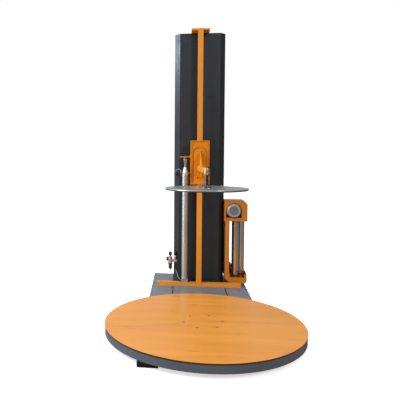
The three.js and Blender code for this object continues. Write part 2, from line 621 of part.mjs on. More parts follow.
function buildPress() {
  part(group, 'press_mast', mast(), orange());
  part(group, 'mast_top_bracket', mastTopBracket(), orange());
  part(group, 'mast_crossbar', mastCrossbar(), orange());
  part(group, 'cylinder_barrel', cylinderBarrel(), aluminium());
  part(group, 'cylinder_head', cylinderHead(), aluminium());
  part(group, 'press_carriage', pressCarriage(), orange());
  part(group, 'press_arm', pressArm(), orange());
  part(group, 'cylinder_rod', cylinderRod(), steel());
  PRESS_ROLLERS.forEach(({ name, y, z }) => {
    const frame = frameAt(group, 0, y, z);
    const { radius, half, axle } = PRESS_ROLLER;
    const pin = barX(axle, -CARRIAGE.half + 3, CARRIAGE.half - 3, 0, 0, 12);
    part(frame, name, barX(radius, -half, half, 0, 0, 24).add(pin), darkSteel());
  });
  const head = frameAt(group, HEAD_AXIS.x, HEAD_AXIS.y, 0);
  part(head, 'press_shaft', pressShaft(), darkSteel());
  part(head, 'press_disc', post(DISC_RADIUS, DISC.bottom, DISC.bottom + DISC.thickness, 64), aluminium());
  part(head, 'press_pad', post(DISC_RADIUS - 5, DISC.bottom - DISC.pad, DISC.bottom, 48), rubber());
}

// ---------------------------------------------------------------- film carriage
// The trolley inside the column, its two arms through the slot and the plate that carries the film frame.
function filmTrolley() {
  const { left, right, front, rear, bottom, top } = TROLLEY;
  const { left: face, front: plateFront, rear: plateRear, bottom: foot, top: head } = TROLLEY_PLATE;
  const slab = box(left, right, front, rear, bottom, top);
  const pins = TROLLEY_WHEELS.map(({ y, z }) => barX(TROLLEY_WHEEL.pin, 152, left + 3, y, z, 12));
  const arms = TROLLEY.arms.map((z) => box(left + 3, face + 2, SLOT.front + 7, SLOT.rear - 7, z, z + 50));
  const clamp = box(148, left + 3, 1248, 1276, 480, 520);
  const plate = box(face, FILM.left, plateFront, plateRear, foot, head);
  return union(slab, clamp, plate, ...pins, ...arms);
}

function carriagePost() {
  const { left, front, back, wall } = FILM;
  const web = box(left, left + wall, front, back - 20, BOTTOM_BOX.top, HOUSING.bottom);
  return web.add(box(left, left + 40, front, front + wall, BOTTOM_BOX.top, HOUSING.bottom));
}

function bottomBox() {
  const { left, right, front, back, wall } = FILM;
  const { bottom, top, chamfer, notch } = BOTTOM_BOX;
  const outline = (inset) => [
    [left + inset, top], [left + inset, bottom + chamfer], [left + chamfer, bottom + inset],
    [right - 18, bottom + inset], [right - inset, bottom + 22], [right - inset, top],
  ];
  const shell = prismY(outline(0), front, back);
  const tray = shell.subtract(prismY(outline(wall), front + wall, back - wall));
  const frontNotch = box(left + 46, right - 24, front - 1, front + wall + 1, notch, top + 9);
  const open = box(left + wall, right - wall, front + wall, back - wall, bottom + chamfer, top + 9);
  const bosses = BEARING_SEATS.map(([x, y]) => post(19, bottom + wall / 2, 190, 24, x, y));
  let solid = union(tray.subtract(open).subtract(frontNotch), ...bosses);
  BEARING_SEATS.forEach(([x, y]) => {
    solid = solid.subtract(post(ROLLER.shaft + CLEARANCE, 150, top + 9, 16, x, y));
  });
  return solid;
}

// The top housing: a chamfered box with an arched motor opening in front and an arm for the upper film chuck.
function topHousing() {
  const { left, right, top, bottom, back, chamfer } = HOUSING;
  const { front, wall } = FILM;
  const outline = (i) => [
    [left + i, bottom + i], [right - i, bottom + i], [right - i, top - chamfer],
    [right - chamfer, top - i], [left + i, top - i],
  ];
  const shell = prismY(outline(0), front, back).subtract(prismY(outline(wall), front + wall, back - wall));
  const archRadius = MOTOR.opening;
  const arch = union(
    barY(archRadius, front - 9, front + wall + 1, MOTOR.x, MOTOR.z, 32),
    box(MOTOR.x - archRadius, MOTOR.x + archRadius, front - 9, front + wall + 1, bottom + 34, MOTOR.z),
  );
  const { half, bottom: armBottom, top: armTop } = CHUCK_ARM;
  const arm = box(CHUCK.x - half, CHUCK.x + half, back, CHUCK.y + half, armBottom, armTop);
  let solid = union(shell.subtract(arch), arm);
  BEARING_SEATS.forEach(([x, y]) => {
    solid = solid.subtract(post(ROLLER.shaft + CLEARANCE, bottom - 1, armTop + 1, 16, x, y));
  });
  return solid;
}

// The stretch motor lies front to back in the housing, its gearbox against the back wall.
function stretchMotor() {
  const { x, z, radius, front, back } = MOTOR;
  const body = barY(radius, front, back, x, z, 36);
  const recess = barY(40, front - 4, front + 6, x, z, 28);
  const gearbox = box(x - 45, x + 45, back - 1, HOUSING.back - FILM.wall, z - 50, z + 45);
  return union(body.subtract(recess), gearbox);
}

function stretchGear(teeth, turn) {
  const outline = toothed(teeth, gearFlank(teeth), turn);
  const top = GEAR.bottom + GEAR.thickness;
  return prism(outline, GEAR.bottom, top).subtract(post(ROLLER.shaft, GEAR.bottom - 1, top + 1, 16));
}

function stretchRoller() {
  const body = post(ROLLER.radius, ROLLER.bottom, ROLLER_TOP, 28);
  return body.add(post(ROLLER.shaft, 160, GEAR.bottom + GEAR.thickness + 2, 16));
}

function lowerChuck() {
  const { base, rim, shaft, flange, core } = CHUCK;
  const plate = [[flange, base], [flange, base + rim], [core, base + rim]];
  const cone = [[core - 7, base + 90], [2, base + 90]];
  return turned([[2, 160], [shaft, 160], [shaft, base], ...plate, ...cone], 20);
}

function upperChuck() {
  const { base, rim, shaft, core } = CHUCK;
  const z = base + rim + FILM_WIDTH + CLEARANCE;
  const knob = CHUCK_ARM.top + 6;
  const cone = [[2, z], [core - 7, z], [core, z + 36], [shaft, z + 36]];
  return turned([...cone, [shaft, knob], [22, knob], [22, knob + 25], [2, knob + 25]], 20);
}

function buildFilmCarriage() {
  part(group, 'film_trolley', filmTrolley(), black());
  part(group, 'carriage_post', carriagePost(), darkOrange());
  part(group, 'carriage_bottom_box', bottomBox(), darkOrange());
  part(group, 'carriage_top_housing', topHousing(), darkOrange());
  part(group, 'stretch_motor', stretchMotor(), aluminium());
  TROLLEY_WHEELS.forEach(({ name, y, z }) => {
    const wheel = frameAt(group, TROLLEY_WHEEL.x, y, z);
    const half = TROLLEY_WHEEL.width / 2;
    const bore = barX(TROLLEY_WHEEL.pin + 0.4, -half - 1, half + 1, 0, 0, 16);
    part(wheel, name, barX(TROLLEY_WHEEL.radius, -half, half, 0, 0, 24).subtract(bore), rubber());
  });
  const front = frameAt(group, ROLLER.x, ROLLER.y, 0);
  part(front, 'stretch_roller_front', stretchRoller(), steel());
  part(front, 'stretch_gear_front', stretchGear(GEAR.big, 0), darkSteel());
  const rear = frameAt(group, REAR_ROLLER.x, REAR_ROLLER.y, 0);
  part(rear, 'stretch_roller_rear', stretchRoller(), rubber());
  part(rear, 'stretch_gear_rear', stretchGear(GEAR.small, 180 / GEAR.small), darkSteel());
  const chucks = frameAt(group, CHUCK.x, CHUCK.y, 0);
  part(chucks, 'film_chuck_lower', lowerChuck(), black());
  part(chucks, 'film_chuck_upper', upperChuck(), black());
}

// ---------------------------------------------------------------- air supply and controls
// Filter, regulator and gauge on a bracket that stands off the column's left bevel.
function airService() {
  const { x, y, bowl, body, neck } = AIR;
  const glass = post(17, bowl, body + 1, 20);
  const filter = union(glass, post(22, body, neck, 24), post(9, neck - 1, neck + 14, 16));
  const gauge = union(barX(6, -28, -18, 0, body + 40, 12), barX(19, -40, -27, 0, body + 40, 20));
  const manifold = box(20, 58, -12, 10, body + 12, body + 36);
  const valve = post(12, body + 12, body + 116, 16, 46, 0);
  const bracket = box(-22, 22, -16, -CLEARANCE, body + 8, body + 40).rotate([0, 0, -45]);
  return union(filter, gauge, manifold, valve).translate([x, y, 0]).add(bracket.translate(BEVEL_MIDDLE));
}

// One hose runs from the bevel's elbow over to the cylinder head,
// the other from the bevel's foot to the port on the cylinder foot.
function upperHose() {
  const z = CYLINDER.top + 13;
  const rise = [[-222, 1156, z - 20], [-228, 1130, z + 12], [-214, 1085, z + 22]];
  const fall = [[-196, 1048, z + 12], [-189, 1038, z + 6]];
  return cable([...rise, ...fall], 5, 12).add(post(12, z - 42, z - 18, 16, -223, 1146));
}

function lowerHose() {
  const start = [[-228, 1160, 240], [-224, 1128, 236]];
  const fall = [[-210, 1090, 208], [-196, 1056, 178], [-187, 1042, 168]];
  return cable([...start, ...fall], 4, 12);
}

function controlBox() {
  const { half, front, rear, bottom, top } = CABINET;
  const { x, z, stem } = STOP_BUTTON;
  return box(-half, half, front, rear, bottom, top).subtract(barY(stem + 0.4, rear - 25, rear + 1, x, z, 20));
}

function buildControls() {
  part(group, 'air_filter_regulator', airService(), aluminium());
  const knob = turned([[9.3, 12], [16, 12], [16, 44], [2, 44], [2, 18], [9.3, 18]], 14);
  part(frameAt(group, AIR.x, AIR.y, AIR.neck), 'regulator_knob', knob, black());
  part(group, 'air_hose_upper', upperHose(), black());
  part(group, 'air_hose_lower', lowerHose(), black());
  part(group, 'control_box', controlBox(), coverGrey());
  const { x, z, stem, cap } = STOP_BUTTON;
  const face = CABINET.rear;
  const button = barY(stem, face - 14, face + 9, x, z, 20).add(barY(cap, face + 8, face + 22, x, z, 24));
  part(group, 'e_stop_button', button, red());
}

buildBase();
buildTurntable();
buildTableDrive();
buildColumn();
buildPress();
buildFilmCarriage();
buildControls();

export default group;
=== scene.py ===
# Turntable pallet wrapper: the visual model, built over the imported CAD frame. Lengths are in millimetres.
import math

import bmesh
import bpy
from mathutils import Matrix, Vector


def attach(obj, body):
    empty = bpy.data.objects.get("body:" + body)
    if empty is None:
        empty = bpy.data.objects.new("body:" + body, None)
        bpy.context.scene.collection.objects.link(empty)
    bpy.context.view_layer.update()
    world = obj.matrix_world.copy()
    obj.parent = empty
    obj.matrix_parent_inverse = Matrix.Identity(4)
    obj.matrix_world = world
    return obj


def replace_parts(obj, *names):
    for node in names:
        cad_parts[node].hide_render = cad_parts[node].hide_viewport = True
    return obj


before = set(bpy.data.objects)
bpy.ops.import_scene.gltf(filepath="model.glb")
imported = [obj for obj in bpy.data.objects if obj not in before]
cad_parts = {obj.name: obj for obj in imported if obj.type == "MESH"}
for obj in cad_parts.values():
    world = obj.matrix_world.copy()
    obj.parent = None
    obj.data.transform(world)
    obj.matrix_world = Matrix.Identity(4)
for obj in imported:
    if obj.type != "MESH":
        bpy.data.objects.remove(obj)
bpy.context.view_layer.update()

MM = 0.001
UP, TO_REAR, TO_FRONT = (0, 0, 1), (0, 1, 0), (0, -1, 0)
SIDES = ((-1, "left"), (1, "right"))

COLUMN_HEIGHT = 2568
COLUMN_REAR = 1460
MAST_TOP = COLUMN_HEIGHT + 16
COVER_TOP = 105
COVER_REAR = 1508
CROSSBAR_TOP = 143
CROSSBAR_BOLTS_Y = 1031
PANEL_FACE = 1613
PRESS_FACE = 954
CARRIAGE_FACE = 1085
GUIDE_ROLLERS = ((985.7, 1150), (1074.3, 1467))
STRETCH_ROLLERS = (("front", 359, 1156), ("rear", 418.4, 1215.4))

HEAD_AXIS = (15.7, 0.1, 0)
CYLINDER_AXIS = (-137, 1037, 0)
FILTER_AXIS = (-279, 1150, 0)
SLIDE_VALVE_AXIS = (-233, 1150, 0)
CHUCK_AXIS = (388, 1366, 0)
MOTOR_FACE = (336, 1072, 840)


# ------------------------------------------------------------------ materials
def new_material(name):
    material = bpy.data.materials.new(name)
    material.use_nodes = True
    nodes = material.node_tree.nodes
    return material, nodes, material.node_tree.links, nodes["Principled BSDF"]


def noise(nodes, links, scale, detail, stretch=(1, 1, 1)):
    """A noise texture in object space, stretched along the axes."""
    coords = nodes.new("ShaderNodeTexCoord")
    mapping = nodes.new("ShaderNodeMapping")
    mapping.inputs["Scale"].default_value = stretch
    texture = nodes.new("ShaderNodeTexNoise")
    texture.inputs["Scale"].default_value = scale
    texture.inputs["Detail"].default_value = detail
    links.new(coords.outputs["Object"], mapping.inputs["Vector"])
    links.new(mapping.outputs["Vector"], texture.inputs["Vector"])
    return texture.outputs["Fac"]


def ramp(nodes, links, source, stops):
    """A colour ramp over source; stops are (position, colour)."""
    node = nodes.new("ShaderNodeValToRGB")
    elements = node.color_ramp.elements
    while len(elements) < len(stops):
        elements.new(0.5)
    for element, (position, colour) in zip(elements, stops):
        element.position = position
        element.color = (*colour, 1)
    links.new(source, node.inputs["Fac"])
    return node.outputs["Color"]


def mix(nodes, links, factor, a, b):
    node = nodes.new("ShaderNodeMix")
    node.data_type = "RGBA"
    for value, slot in ((factor, 0), (a, 6), (b, 7)):
        if isinstance(value, (int, float)):
            node.inputs[slot].default_value = value
        elif isinstance(value, tuple):
            node.inputs[slot].default_value = (*value, 1)
        else:
            links.new(value, node.inputs[slot])
    return node.outputs[2]


def add_bump(nodes, links, shader, height, strength, distance=0.001):
    bump = nodes.new("ShaderNodeBump")
    bump.inputs["Strength"].default_value = strength
    bump.inputs["Distance"].default_value = distance
    links.new(height, bump.inputs["Height"])
    links.new(bump.outputs["Normal"], shader.inputs["Normal"])


def shade(colour, factor):
    return tuple(min(1.0, c * factor) for c in colour)


def paint(name, colour, roughness=0.42, wear=(0.32, 0.3, 0.28), wear_amount=0.5, dirt=0.25, sheen=0.5):
    """Powder coat: soft colour variation, dust, orange-peel bump and bare metal at worn edges."""
    material, nodes, links, shader = new_material(name)
    broad = noise(nodes, links, 2.3, 5)
    tint = ramp(nodes, links, broad, [(0.3, shade(colour, 0.86)), (0.7, shade(colour, 1.1))])
    dust = noise(nodes, links, 9, 8)
    dusty = ramp(nodes, links, dust, [(0.5, (0, 0, 0)), (0.85, (dirt, dirt, dirt))])
    tint = mix(nodes, links, dusty, tint, shade(colour, 0.6))
    edges = nodes.new("ShaderNodeNewGeometry").outputs["Pointiness"]
    sharp = ramp(nodes, links, edges, [(0.55, (0, 0, 0)), (0.72, (wear_amount,) * 3)])
    tint = mix(nodes, links, sharp, tint, wear)
    links.new(tint, shader.inputs["Base Color"])
    gloss = ramp(nodes, links, dust, [(0.25, (roughness - 0.08,) * 3), (0.8, (roughness + 0.14,) * 3)])
    links.new(gloss, shader.inputs["Roughness"])
    shader.inputs["Specular IOR Level"].default_value = sheen
    add_bump(nodes, links, shader, noise(nodes, links, 260, 3), 0.12)
    return material


def metal(name, colour, roughness=0.28, stretch=(1, 1, 60), depth=0.15):
    """Bare metal with fine drawn or turned lines along one axis and cloudy tarnish."""
    material, nodes, links, shader = new_material(name)
    lines = noise(nodes, links, 30, 6, stretch)
    cloud = noise(nodes, links, 4, 4)
    tint = ramp(nodes, links, lines, [(0.3, shade(colour, 0.82)), (0.7, shade(colour, 1.08))])
    stain = ramp(nodes, links, cloud, [(0.45, (0, 0, 0)), (0.8, (0.35,) * 3)])
    tint = mix(nodes, links, stain, tint, shade(colour, 0.62))
    links.new(tint, shader.inputs["Base Color"])
    gloss = ramp(nodes, links, lines, [(0.2, (roughness * 0.75,) * 3), (0.8, (roughness * 1.35,) * 3)])
    links.new(gloss, shader.inputs["Roughness"])
    shader.inputs["Metallic"].default_value = 1.0
    add_bump(nodes, links, shader, lines, depth, 0.0004)
    return material


def polymer(name, colour, roughness=0.55, grain=420):
    """Moulded plastic or rubber: fine grain, slight greying and scuffed gloss."""
    material, nodes, links, shader = new_material(name)
    cloud = noise(nodes, links, 12, 6)
    tint = ramp(nodes, links, cloud, [(0.35, colour), (0.8, tuple(c * 1.2 + 0.012 for c in colour))])
    links.new(tint, shader.inputs["Base Color"])
    gloss = ramp(nodes, links, cloud, [(0.3, (roughness - 0.1,) * 3), (0.75, (roughness + 0.15,) * 3)])
    links.new(gloss, shader.inputs["Roughness"])
    add_bump(nodes, links, shader, noise(nodes, links, grain, 2), 0.2)
    return material


def table_paint():
    """The turntable's orange top: long faint wear streaks, a few scattered scuffs and a satin sheen."""
    colour = (0.74, 0.27, 0.036)
    material, nodes, links, shader = new_material("table_orange")
    streaks = noise(nodes, links, 2.2, 7, (0.5, 5, 1))
    tint = ramp(nodes, links, streaks, [(0.3, shade(colour, 0.9)), (0.7, (0.78, 0.31, 0.055))])
    scuffs = noise(nodes, links, 7, 12, (1, 3.5, 1))
    marks = ramp(nodes, links, scuffs, [(0.655, (0, 0, 0)), (0.7, (0.35,) * 3)])
    tint = mix(nodes, links, marks, tint, (0.36, 0.11, 0.02))
    links.new(tint, shader.inputs["Base Color"])
    gloss = ramp(nodes, links, streaks, [(0.3, (0.26,) * 3), (0.7, (0.4,) * 3)])
    links.new(gloss, shader.inputs["Roughness"])
    shader.inputs["Specular IOR Level"].default_value = 0.34
    add_bump(nodes, links, shader, noise(nodes, links, 180, 3), 0.08)
    return material


ORANGE = paint("orange_powder_coat", (0.70, 0.222, 0.003), 0.42, (0.8, 0.45, 0.14), 0.3, sheen=0.16)
# Painted shade: a darker copy of the orange paint, used on the film carriage so that it reads as shaded.
SHADED_ORANGE = paint("orange_powder_coat_painted_shade", (0.50, 0.15, 0.008), 0.42, (0.6, 0.32, 0.1), 0.3, sheen=0.2)
CHARCOAL = paint("charcoal_powder_coat", (0.017, 0.020, 0.026), 0.34, (0.08, 0.09, 0.1), 0.25, 0.12, 0.24)
GREY = paint("grey_powder_coat", (0.125, 0.145, 0.175), 0.4, (0.3, 0.3, 0.3), 0.3, 0.2)
SKIRT = paint("skirt_grey", (0.072, 0.088, 0.118), 0.3, (0.2, 0.2, 0.2), 0.2, 0.2, 0.7)
# Painted shade: a dark brown that stands in for the shaded plate edge and the shadow line under the table's
# overhang.
PLATE_EDGE_SHADE = paint("painted_rim_shade", (0.05, 0.02, 0.01), 0.3, (0.3, 0.1, 0.02), 0.2)
BLACK_PAINT = paint("black_enamel", (0.012, 0.012, 0.013), 0.45, (0.1, 0.1, 0.1), 0.4)
TABLE = table_paint()
STEEL = metal("ground_steel", (0.60, 0.57, 0.54), 0.16, (60, 60, 1))
ALUMINIUM = metal("drawn_aluminium", (0.58, 0.55, 0.53), 0.42, (60, 60, 1))
DISC_METAL = metal("brushed_disc", (0.66, 0.66, 0.67), 0.32, (1, 40, 1))
DARK_STEEL = metal("oiled_steel", (0.13, 0.13, 0.135), 0.36, (8, 8, 8), 0.2)
BLACK_CHROME = metal("black_chrome", (0.09, 0.09, 0.095), 0.16, (1, 1, 40), 0.1)
ZINC = metal("yellow_zinc", (0.62, 0.42, 0.17), 0.3, (8, 8, 8), 0.1)
RUBBER = polymer("black_rubber", (0.014, 0.014, 0.015), 0.75)
PLASTIC = polymer("black_plastic", (0.016, 0.016, 0.018), 0.42)
RED = polymer("red_plastic", (0.55, 0.018, 0.012), 0.3)
HOSE = polymer("grey_air_hose", (0.13, 0.15, 0.17), 0.25)
DIAL = polymer("dial_white", (0.72, 0.72, 0.7), 0.35)
BOWL = polymer("smoked_bowl", (0.03, 0.032, 0.036), 0.18)


# ------------------------------------------------------------------ mesh helpers
def place(name, mesh, body, material, smooth_angle=35.0):
    """Makes an object from a mesh in the row frame and lets it ride a body."""
    piece = bpy.data.objects.new(name, mesh)
    bpy.context.scene.collection.objects.link(piece)
    mesh.materials.append(material)
    mesh.shade_smooth()
    add_edge_split(piece, smooth_angle)
    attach(piece, body)
    return piece


def add_edge_split(piece, angle):
    split = piece.modifiers.new("sharp_edges", "EDGE_SPLIT")
    split.split_angle = math.radians(angle)


def add_bevel(piece, width, segments=2):
    bevel = piece.modifiers.new("worn_edge", "BEVEL")
    bevel.width = width * MM
    bevel.segments = segments
    bevel.limit_method = "ANGLE"
    bevel.angle_limit = math.radians(40)
    return bevel


def mesh_from(bm, name):
    bmesh.ops.recalc_face_normals(bm, faces=bm.faces)
    mesh = bpy.data.meshes.new(name)
    bm.to_mesh(mesh)
    bm.free()
    return mesh


def block(name, body, material, x, y, z, bevel=1.5):
    """A box with rounded edges; x, y and z are (low, high) pairs."""
    bm = bmesh.new()
    bmesh.ops.create_cube(bm, size=1)
    size = Vector((x[1] - x[0], y[1] - y[0], z[1] - z[0])) * MM
    centre = Vector((x[0] + x[1], y[0] + y[1], z[0] + z[1])) * (MM / 2)
    bmesh.ops.scale(bm, vec=size, verts=bm.verts)
    bmesh.ops.bevel(bm, geom=bm.edges[:], offset=bevel * MM, segments=2, affect="EDGES", profile=0.5)
    bmesh.ops.translate(bm, vec=centre, verts=bm.verts)
    return place(name, mesh_from(bm, name), body, material)


def lathe(name, body, material, profile, centre=(0, 0, 0), axis=(0, 0, 1), steps=64):
    """Turns a closed (radius, height) profile about an axis through centre."""
    bm = bmesh.new()
    rings = []
    for radius, height in profile:
        ring = []
        for i in range(steps):
            angle = 2 * math.pi * i / steps
            x, y = radius * math.cos(angle) * MM, radius * math.sin(angle) * MM
            ring.append(bm.verts.new((x, y, height * MM)))
        rings.append(ring)
    for a, b in zip(rings, rings[1:] + rings[:1]):
        for i in range(steps):
            bm.faces.new((a[i], a[(i + 1) % steps], b[(i + 1) % steps], b[i]))
    turn = Vector((0, 0, 1)).rotation_difference(Vector(axis)).to_matrix().to_4x4()
    bm.transform(Matrix.Translation(Vector(centre) * MM) @ turn)
    return place(name, mesh_from(bm, name), body, material)


def bolts(name, body, material, points, axis, radius=6.5, height=5.0):
    """Hexagon bolt heads, each on its washer and with a domed top, as one piece."""
    bm = bmesh.new()
    turn = Vector((0, 0, 1)).rotation_difference(Vector(axis)).to_matrix().to_4x4()
    layers = ((24, 1.5, 1.5, 0.0, 1.2), (6, 1.0, 1.0, 1.2, height), (12, 0.8, 0.45, height + 1.2, 0.8))
    for point in points:
        for count, low, high, start, tall in layers:
            lift = Matrix.Translation((0, 0, (start + tall / 2) * MM))
            bmesh.ops.create_cone(bm, cap_ends=True, segments=count, radius1=radius * low * MM,
                                  radius2=radius * high * MM, depth=tall * MM,
                                  matrix=Matrix.Translation(Vector(point) * MM) @ turn @ lift)
    return place(name, mesh_from(bm, name), body, material)


def pipe(name, body, material, points, radius, cyclic=False):
    """A hose, cable or weld bead through points."""
    curve = bpy.data.curves.new(name, "CURVE")
    curve.dimensions = "3D"
    curve.bevel_depth = radius * MM
    curve.bevel_resolution = 4
    curve.use_fill_caps = True
    spline = curve.splines.new("BEZIER")
    spline.bezier_points.add(len(points) - 1)
    spline.use_cyclic_u = cyclic
    for bezier, point in zip(spline.bezier_points, points):
        bezier.co = Vector(point) * MM
        bezier.handle_left_type = bezier.handle_right_type = "AUTO"
    piece = bpy.data.objects.new(name, curve)
    bpy.context.scene.collection.objects.link(piece)
    curve.materials.append(material)
    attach(piece, body)
    return piece


def weld(name, body, material, start, end, radius=2.2):
    """A rippled fillet weld between two points."""
    bm = bmesh.new()
    a, b = Vector(start) * MM, Vector(end) * MM
    count = max(3, int((b - a).length / (radius * 1.3 * MM)))
    for i in range(count):
        centre = a.lerp(b, (i + 0.5) / count)
        bmesh.ops.create_icosphere(bm, subdivisions=1, radius=radius * MM, matrix=Matrix.Translation(centre))
    return place(name, mesh_from(bm, name), body, material, 80)


# ------------------------------------------------------------------ carried-over CAD nodes
FINISHES = {
    TABLE: ("turntable_plate",),
    ORANGE: ("press_mast", "mast_top_bracket", "mast_crossbar", "press_carriage", "press_arm"),
    # The film carriage takes the darker orange copy, which is painted shade.
    SHADED_ORANGE: ("carriage_post", "carriage_bottom_box", "carriage_top_housing"),
    CHARCOAL: ("column_shell", "column_top_cap", "column_rear_cover"),
    GREY: ("base_cover_left", "base_cover_right", "base_cover_center", "turntable_gearmotor",
           "lift_gearmotor", "control_box"),
    SKIRT: ("turntable_skirt",),
    BLACK_PAINT: ("base_frame", "turntable_spider", "turntable_bolt_ring", "film_trolley"),
    PLASTIC: ("film_chuck_lower", "film_chuck_upper", "regulator_knob"),
    STEEL: ("cylinder_rod", "stretch_roller_front", "stretch_roller_rear"),
    ALUMINIUM: ("cylinder_barrel", "cylinder_head", "air_filter_regulator"),
    DISC_METAL: ("press_disc",),
    DARK_STEEL: ("turntable_pivot_post", "turntable_drive_chain", "turntable_sprocket",
                 "turntable_drive_sprocket", "guide_rail_front", "guide_rail_rear", "lift_chain",
                 "lift_sprocket_lower", "lift_sprocket_upper", "press_roller_lower", "press_roller_upper",
                 "press_shaft", "stretch_gear_front", "stretch_gear_rear"),
    RUBBER: ("press_pad", "support_wheel_1", "support_wheel_2", "support_wheel_3", "support_wheel_4",
             "trolley_wheel_front_lower", "trolley_wheel_front_upper", "trolley_wheel_rear_lower",
             "trolley_wheel_rear_upper"),
    RED: ("e_stop_button",),
}
BEVEL_WIDTHS = {
    "column_shell": 3, "column_rear_cover": 1, "base_cover_left": 1.2, "base_cover_right": 1.2,
    "base_cover_center": 1.2, "press_mast": 3, "mast_crossbar": 2.5, "mast_top_bracket": 1.5,
    "press_carriage": 1.5, "press_arm": 2, "carriage_post": 1.2, "carriage_bottom_box": 1.5,
    "carriage_top_housing": 1.5, "film_trolley": 1.5, "control_box": 4, "cylinder_head": 2,
    "base_frame": 1.5, "e_stop_button": 2, "film_chuck_lower": 1.5, "film_chuck_upper": 1.5,
    "regulator_knob": 1.5, "turntable_plate": 1.2, "press_shaft": 0.8, "stretch_roller_front": 1.5,
    "stretch_roller_rear": 1.5, "press_disc": 1,
}


def dress_frame():
    """Gives every carried-over node its material, worn edges and smooth shading."""
    for material, names in FINISHES.items():
        for name in names:
            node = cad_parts[name]
            node.data.materials.clear()
            node.data.materials.append(material)
            node.data.shade_smooth()
            if name in BEVEL_WIDTHS:
                add_bevel(node, BEVEL_WIDTHS[name])
            add_edge_split(node, 32)


# ------------------------------------------------------------------ turntable
def build_turntable():
    # Painted shade: a dark ring over the plate's edge and a dark band beneath its overhang stand in for the
    # shadow line along the rim.
    rim = [(746.8, 98), (748.6, 98), (749.2, 103.4), (750.5, 104), (750.5, 108.4), (746.8, 108.4)]
    lathe("plate_edge", "turntable", PLATE_EDGE_SHADE, rim, steps=192)
    rivet_circle, rivet_height, rivet_count = 747, 74, 24
    bm = bmesh.new()
    for i in range(rivet_count):
        angle = math.radians(i * 360 / rivet_count + 7)
        x, y = rivet_circle * math.cos(angle), rivet_circle * math.sin(angle)
        dome = Matrix.Translation(Vector((x, y, rivet_height)) * MM) @ Matrix.Diagonal((0.9, 0.9, 0.9, 1))
        bmesh.ops.create_icosphere(bm, subdivisions=2, radius=2.6 * MM, matrix=dome)
    place("skirt_rivets", mesh_from(bm, "skirt_rivets"), "turntable", SKIRT)


# ------------------------------------------------------------------ base and column
def build_base():
    screws = []
    for side, _ in SIDES:
        screws += [(side * x, y, COVER_TOP) for x in (264, 438) for y in (800, 960, 1120, 1300, 1485)]
    screws += [(x, y, COVER_TOP) for x in (-232, 0, 232) for y in (840, 1090) if x or y > 1000]
    bolts("cover_screws", "base", DARK_STEEL, screws, UP, 4, 1.6)
    block("cover_rear_step", "base", GREY, (-243, 243), (1462, COVER_REAR), (40, COVER_TOP), 2)
    block("pocket_stop_left", "base", BLACK_PAINT, (-448, -318), (-598, -592), (5, 33), 1)
    seam_z = (COVER_TOP - 1.5, COVER_TOP + 0.6)
    for side, tag in SIDES:
        x = (min(side * 246, side * 252), max(side * 246, side * 252))
        block(f"cover_seam_front_{tag}", "base", RUBBER, x, (722, 1009.5), seam_z, 0.3)
        block(f"cover_seam_rear_{tag}", "base", RUBBER, x, (1052.5, COVER_REAR), seam_z, 0.3)


def build_column():
    for name, y in (("slot_brush_front", (1266, 1292)), ("slot_brush_rear", (1308, 1334))):
        block(name, "base", RUBBER, (245, 248), y, (230, 2440), 0.6)
    cap_screws = [(x, y, COLUMN_HEIGHT) for x in (-215, 215) for y in (1215, 1430)]
    bolts("cap_screws", "base", DARK_STEEL, cap_screws, UP, 5, 2.5)
    rear_screws = [(x, COLUMN_REAR, z) for x in (-218, 218) for z in range(140, 2500, 330)]
    bolts("rear_cover_screws", "base", DARK_STEEL, rear_screws, TO_REAR, 5, 2.5)
    louvre_y = (COLUMN_REAR - 1, COLUMN_REAR + 6)
    for i in range(8):
        z = 260 + i * 26
        block(f"rear_louvre_{i + 1}", "base", CHARCOAL, (-110, 110), louvre_y, (z, z + 9), 2.5)
    lip_z = (COLUMN_HEIGHT - 14, COLUMN_HEIGHT - 1)
    block("top_cap_lip", "base", CHARCOAL, (-196, 196), (1136, 1139), lip_z, 0.8)
    bracket = [(x, y, MAST_TOP) for x in (-58, 58) for y in (1175, 1260)]
    bolts("bracket_bolts", "base", DARK_STEEL, bracket, UP, 9, 6)


def build_controls():
    block("control_door", "base", GREY, (-143, 143), (1605, 1612), (1087, 1463), 2)
    block("door_gasket", "base", RUBBER, (-139, 139), (1603, 1606), (1091, 1459), 0.8)
    block("control_panel", "base", BLACK_PAINT, (-120, 120), (1611, 1614), (1235, 1445), 1.5)
    hinge = [(2, -22), (6, -22), (6, 22), (2, 22)]
    for i, z in enumerate((1120, 1420)):
        lathe(f"door_hinge_{i + 1}", "base", DARK_STEEL, hinge, (-149, 1611, z), steps=24)
    lock = [(3, 0), (11, 0), (11, 4), (9, 6), (3, 6)]
    lathe("door_lock", "base", STEEL, lock, (118, 1612, 1160), TO_REAR, 32)
    collar = [(22, 0), (33, 0), (33, 2.5), (29, 4), (22, 4)]
    lathe("e_stop_collar", "base", ZINC, collar, (-60, PANEL_FACE, 1380), TO_REAR, 48)
    build_buttons()
    build_dials()
    gland = [(5, -18), (13, -18), (13, -8), (16, -8), (16, 0), (5, 0)]
    lathe("cable_gland", "base", PLASTIC, gland, (80, 1535, 1080), steps=24)
    cable = [(80, 1535, 1066), (84, 1530, 960), (120, 1490, 760), (150, 1478, 420), (160, 1472, 116)]
    pipe("mains_cable", "base", RUBBER, cable, 6)


def build_buttons():
    bezel = [(11, 0), (15, 0), (15, 3), (13, 5), (11, 5)]
    cap = [(1, 0), (11, 0), (11, 6), (9, 8), (1, 8)]
    for i, (x, material) in enumerate(((0, DIAL), (40, RED), (80, PLASTIC))):
        centre = (x, PANEL_FACE, 1380)
        lathe(f"panel_button_{i + 1}", "base", STEEL, bezel, centre, TO_REAR, 36)
        lathe(f"panel_button_cap_{i + 1}", "base", material, cap, centre, TO_REAR, 36)


